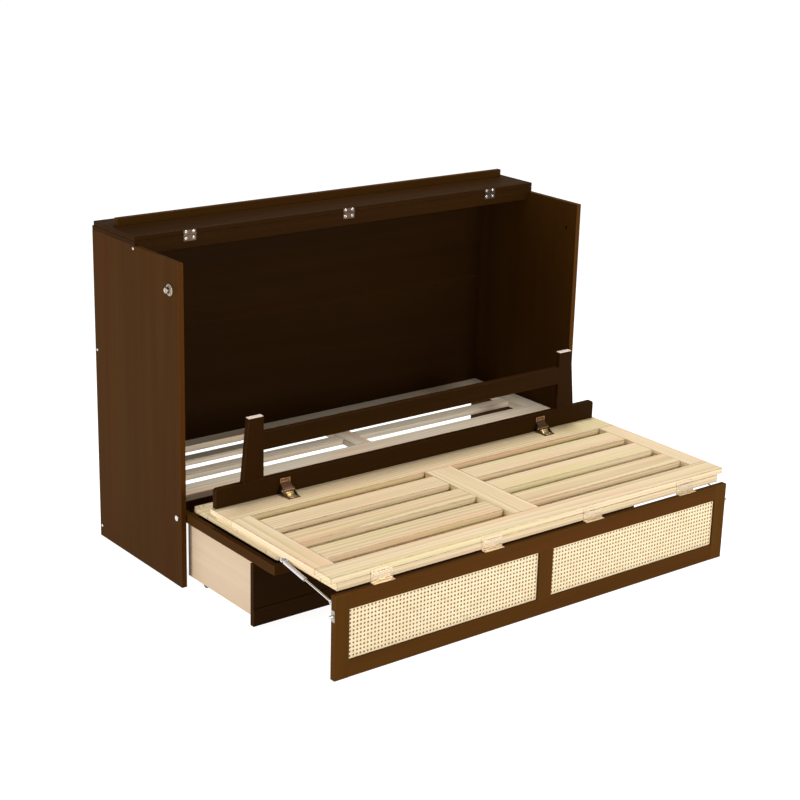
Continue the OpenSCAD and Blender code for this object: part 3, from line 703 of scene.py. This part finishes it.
def rounded_bar(points, faces, low, high, radius):
    """Adds a box with its four long edges along X rounded, as one closed shell."""
    corner_steps = 4
    ring = []
    for (cy, cz), first in (((high.y - radius, high.z - radius), 0),
                            ((low.y + radius, high.z - radius), 1),
                            ((low.y + radius, low.z + radius), 2),
                            ((high.y - radius, low.z + radius), 3)):
        for k in range(corner_steps + 1):
            a = math.pi / 2 * (first + k / corner_steps)
            ring.append((cy + radius * math.cos(a), cz + radius * math.sin(a)))
    start, count = len(points), len(ring)
    inset = min(radius * 0.5, (high.x - low.x) * 0.2)
    middle = Vector(((low.y + high.y) / 2, (low.z + high.z) / 2))
    for x, shrink in ((low.x, 0.9), (low.x + inset, 1.0), (high.x - inset, 1.0), (high.x, 0.9)):
        for y, z in ring:
            p = middle + (Vector((y, z)) - middle) * shrink
            points.append(Vector((x, p.x, p.y)))
    for step in range(3):
        for k in range(count):
            a = start + step * count + k
            b = start + step * count + (k + 1) % count
            faces.append((a, a + count, b + count, b))
    faces.append(tuple(start + k for k in range(count)))
    faces.append(tuple(start + 3 * count + k for k in reversed(range(count))))


def bars(name, boxes, material, body, radius=0.5 * MM):
    """One piece of several rounded bars, each given as (x, x, d, d, z, z) in millimetres."""
    points, faces = [], []
    for x0, x1, d0, d1, z0, z1 in boxes:
        low = Vector((x0 * MM, from_back(d1), z0 * MM))
        high = Vector((x1 * MM, from_back(d0), z1 * MM))
        rounded_bar(points, faces, low, high, min(radius, (z1 - z0) * 0.45 * MM,
                                                  (d1 - d0) * 0.45 * MM))
    piece = mesh_piece(name, points, faces, material)
    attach(piece, body)
    return piece


BRACKET_X = 535.0
BRACKET_FACE = 686      # depth of the leaf's front face


def leg_bracket_details():
    """Raised rims and screws on each bracket's leaf, and a gilt tongue and bosses on its base."""
    for name, middle in (("left", -BRACKET_X), ("right", BRACKET_X)):
        rim = [
            (middle - 19, middle + 19, BRACKET_FACE, 686.9, 361, 363),
            (middle - 19, middle - 16.6, BRACKET_FACE, 686.9, 340, 361.2),
            (middle + 16.6, middle + 19, BRACKET_FACE, 686.9, 340, 361.2),
            (middle - 12, middle + 12, BRACKET_FACE, 686.6, 351.5, 353),
        ]
        bars("leg_bracket_rim_" + name, rim, RIM, "leg_frame")
        for j, dx in enumerate((-9.5, 9.5)):
            for k, z in enumerate((346.0, 357.0)):
                screw(f"leg_bracket_leaf_screw_{name}_{j}{k}",
                      ((middle + dx) * MM, from_back(BRACKET_FACE), z * MM), (0, -1, 0),
                      2.4 * MM, "leg_frame", BRONZE)
        tongue = [
            (middle - 15, middle + 15, 709.5, 738, 313.5, 315.2),
            (middle - 15, middle + 15, 709.5, 711.5, 314, 324.5),
            (middle - 15, middle + 15, 711, 717, 314, 320),
        ]
        bars("leg_bracket_tongue_" + name, tongue, GOLD, "foot_section", 0.9 * MM)
        for j, dx in enumerate((-9.0, 9.0)):
            screw(f"leg_bracket_base_screw_{name}_{j}",
                  ((middle + dx) * MM, from_back(729), 315.2 * MM), (0, 0, 1),
                  2.6 * MM, "foot_section", SCREW)
        for j, sign in enumerate((-1, 1)):
            screw(f"leg_bracket_boss_{name}_{j}",
                  ((middle + sign * 22.1) * MM, from_back(700), 327 * MM), (sign, 0, 0),
                  4.3 * MM, "foot_section", SCREW)


def turned(name, profile, centre, sign, body, material):
    """Lathe-turned piece on an axis along X. profile is a list of (radius, reach) in millimetres."""
    spokes = 56
    points, faces = [], []
    for k in range(spokes):
        a = 2 * math.pi * k / spokes
        for radius, reach in profile:
            points.append(Vector(centre) + MM * Vector((sign * reach, radius * math.cos(a),
                                                       radius * math.sin(a))))
    count = len(profile)
    for k in range(spokes):
        here, there = k * count, ((k + 1) % spokes) * count
        for i in range(count):
            j = (i + 1) % count
            rim = (here + i, here + j, there + j, there + i)
            faces.append(rim if sign > 0 else tuple(reversed(rim)))
    piece = mesh_piece(name, points, faces, material)
    split = piece.modifiers.new("corners", "EDGE_SPLIT")
    split.split_angle = math.radians(50)
    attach(piece, body)
    return piece


# The side latch in millimetres: part.scad's radii less 0.1, or plus 0.1 in the ring's bore, and
# heights from the panel's outer face
FLANGE_R, FLANGE_TOP = 18.9, 3.0
BOSS_R, BOSS_TOP = 13.9, 6.0
RING_BORE_R = 10.3
STEM_R, STEM_INNER_END = 5.9, -8.4
HEAD_R, HEAD_UNDER, HEAD_TOP = 9.7, 8.6, 16.0

RING_PROFILE = [(RING_BORE_R, 0.0), (RING_BORE_R, BOSS_TOP - 0.8), (RING_BORE_R + 0.8, BOSS_TOP),
                (BOSS_R - 1.2, BOSS_TOP), (BOSS_R - 0.3, BOSS_TOP - 0.5), (BOSS_R, BOSS_TOP - 1.4),
                (BOSS_R, FLANGE_TOP), (FLANGE_R - 1.2, FLANGE_TOP),
                (FLANGE_R - 0.3, FLANGE_TOP - 0.5), (FLANGE_R, FLANGE_TOP - 1.4), (FLANGE_R, 0.0)]
BUTTON_PROFILE = [(0.05, STEM_INNER_END), (STEM_R, STEM_INNER_END), (STEM_R, HEAD_UNDER),
                  (HEAD_R, HEAD_UNDER), (HEAD_R, HEAD_TOP - 1.6), (HEAD_R - 0.4, HEAD_TOP - 0.6),
                  (HEAD_R - 1.4, HEAD_TOP), (HEAD_R - 2.8, HEAD_TOP), (HEAD_R - 4.0, HEAD_TOP - 0.9),
                  (0.05, HEAD_TOP - 1.3)]


def side_latches():
    """The push button on each side panel, a head on a thinner stem, in its stepped ring."""
    low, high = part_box("latch_button_left")
    place_y, place_z = (low.y + high.y) / 2, (low.z + high.z) / 2
    panel_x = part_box("side_panel_right")[1].x
    for name, sign in (("left", -1), ("right", 1)):
        centre = (sign * panel_x, place_y, place_z)
        ring = turned("latch_ring_" + name, RING_PROFILE, centre, sign, "cabinet", LATCH)
        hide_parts("latch_escutcheons")
        button = turned("latch_cap_" + name, BUTTON_PROFILE, centre, sign,
                        "side_button_" + name, LATCH)
        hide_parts("latch_button_" + name)


def corner_plugs():
    """Low dark screw heads near the rear corners of the middle deck and of the foot frame; their
    dark metal is painted shade of screw recesses.
    """
    _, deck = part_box("mid_deck")
    _, frame_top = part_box("foot_frame_rails")
    from_rear = 14 * MM
    jobs = [("mid_deck", "front_section", deck, (9.0, 26.0)),
            ("foot_frame", "foot_section", frame_top, (10.0,))]
    for label, body, high, insets in jobs:
        for j, inset in enumerate(insets):
            for side in (-1, 1):
                centre = (side * (high.x - inset * MM), high.y - from_rear, high.z)
                screw(f"{label}_screw_{j}_{side + 1}", centre, (0, 0, 1), 2.9 * MM, body,
                      SHADOW_NICKEL, 0.4 * MM)


cane_panels()
side_latches()
corner_plugs()
leaf_screws()
lid_hinge_screws()
leg_bracket_details()


# -------------------------------------------------------- floor, light, camera

def floor():
    """A wide pale plane that glows a little, so that it is white as in the photograph."""
    g = Graph("studio_floor")
    place = g.add("ShaderNodeTexCoord").outputs["Object"]
    cloud, _ = g.noise(place, scale=0.6, detail=2.0)
    g.set("Base Color", g.mix(cloud, rgba(0.28, 0.28, 0.28), rgba(0.31, 0.31, 0.31)))
    g.set("Roughness", 0.9)
    g.set("Specular IOR Level", 0.0)
    g.set("Emission Color", rgba(1, 1, 1))
    g.set("Emission Strength", 0.94)
    half, under = 60.0, -0.4 * MM
    turns = ((-1, -1), (1, -1), (1, 1), (-1, 1))
    corners = [Vector((sx * half, sy * half, under)) for sx, sy in turns]
    plane = mesh_piece("studio_floor", corners, [(0, 1, 2, 3)], g.material, smooth=False)


def soft_light(name, place, aim, size, power):
    data = bpy.data.lights.new(name, "AREA")
    data.shape = "DISK"
    data.size = size
    data.energy = power
    lamp = bpy.data.objects.new(name, data)
    lamp.location = place
    lamp.rotation_euler = (Vector(aim) - Vector(place)).to_track_quat("-Z", "Y").to_euler()
    bpy.context.scene.collection.objects.link(lamp)


def studio():
    """A sky that is white near the horizon, like a cove, and dimmer overhead, with three lamps."""
    world = bpy.data.worlds.new("studio")
    world.use_nodes = True
    tree = world.node_tree
    direction = tree.nodes.new("ShaderNodeTexCoord").outputs["Generated"]
    height = tree.nodes.new("ShaderNodeSeparateXYZ")
    tree.links.new(direction, height.inputs[0])
    fade = tree.nodes.new("ShaderNodeMapRange")
    tree.links.new(height.outputs["Z"], fade.inputs["Value"])
    for key, value in (("From Min", 0.16), ("From Max", 0.34), ("To Min", 1.0), ("To Max", 0.24)):
        fade.inputs[key].default_value = value
    background = tree.nodes["Background"]
    background.inputs["Color"].default_value = rgba(1, 1, 1)
    tree.links.new(fade.outputs["Result"], background.inputs["Strength"])
    bpy.context.scene.world = world
    soft_light("top_rear", (0.9, 0.7, 4.7), (0, -0.3, 0.3), 1.6, 165)
    soft_light("left", (-4.4, 0.5, 1.1), (-0.8, 0.3, 0.5), 1.4, 100)
    soft_light("front", (0.9, -4.8, 2.1), (0, -0.6, 0.2), 1.4, 155)
    bpy.context.scene.view_settings.view_transform = "Standard"


def camera():
    data = bpy.data.cameras.new("camera")
    data.sensor_width = 36.0
    data.lens = 80.58
    data.clip_end = 300.0
    obj = bpy.data.objects.new("camera", data)
    obj.location = (-3.491, -4.367, 2.364)
    obj.rotation_euler = [math.radians(a) for a in (71.68, -1.47, -37.6)]
    bpy.context.scene.collection.objects.link(obj)
    bpy.context.scene.camera = obj


floor()
studio()
camera()
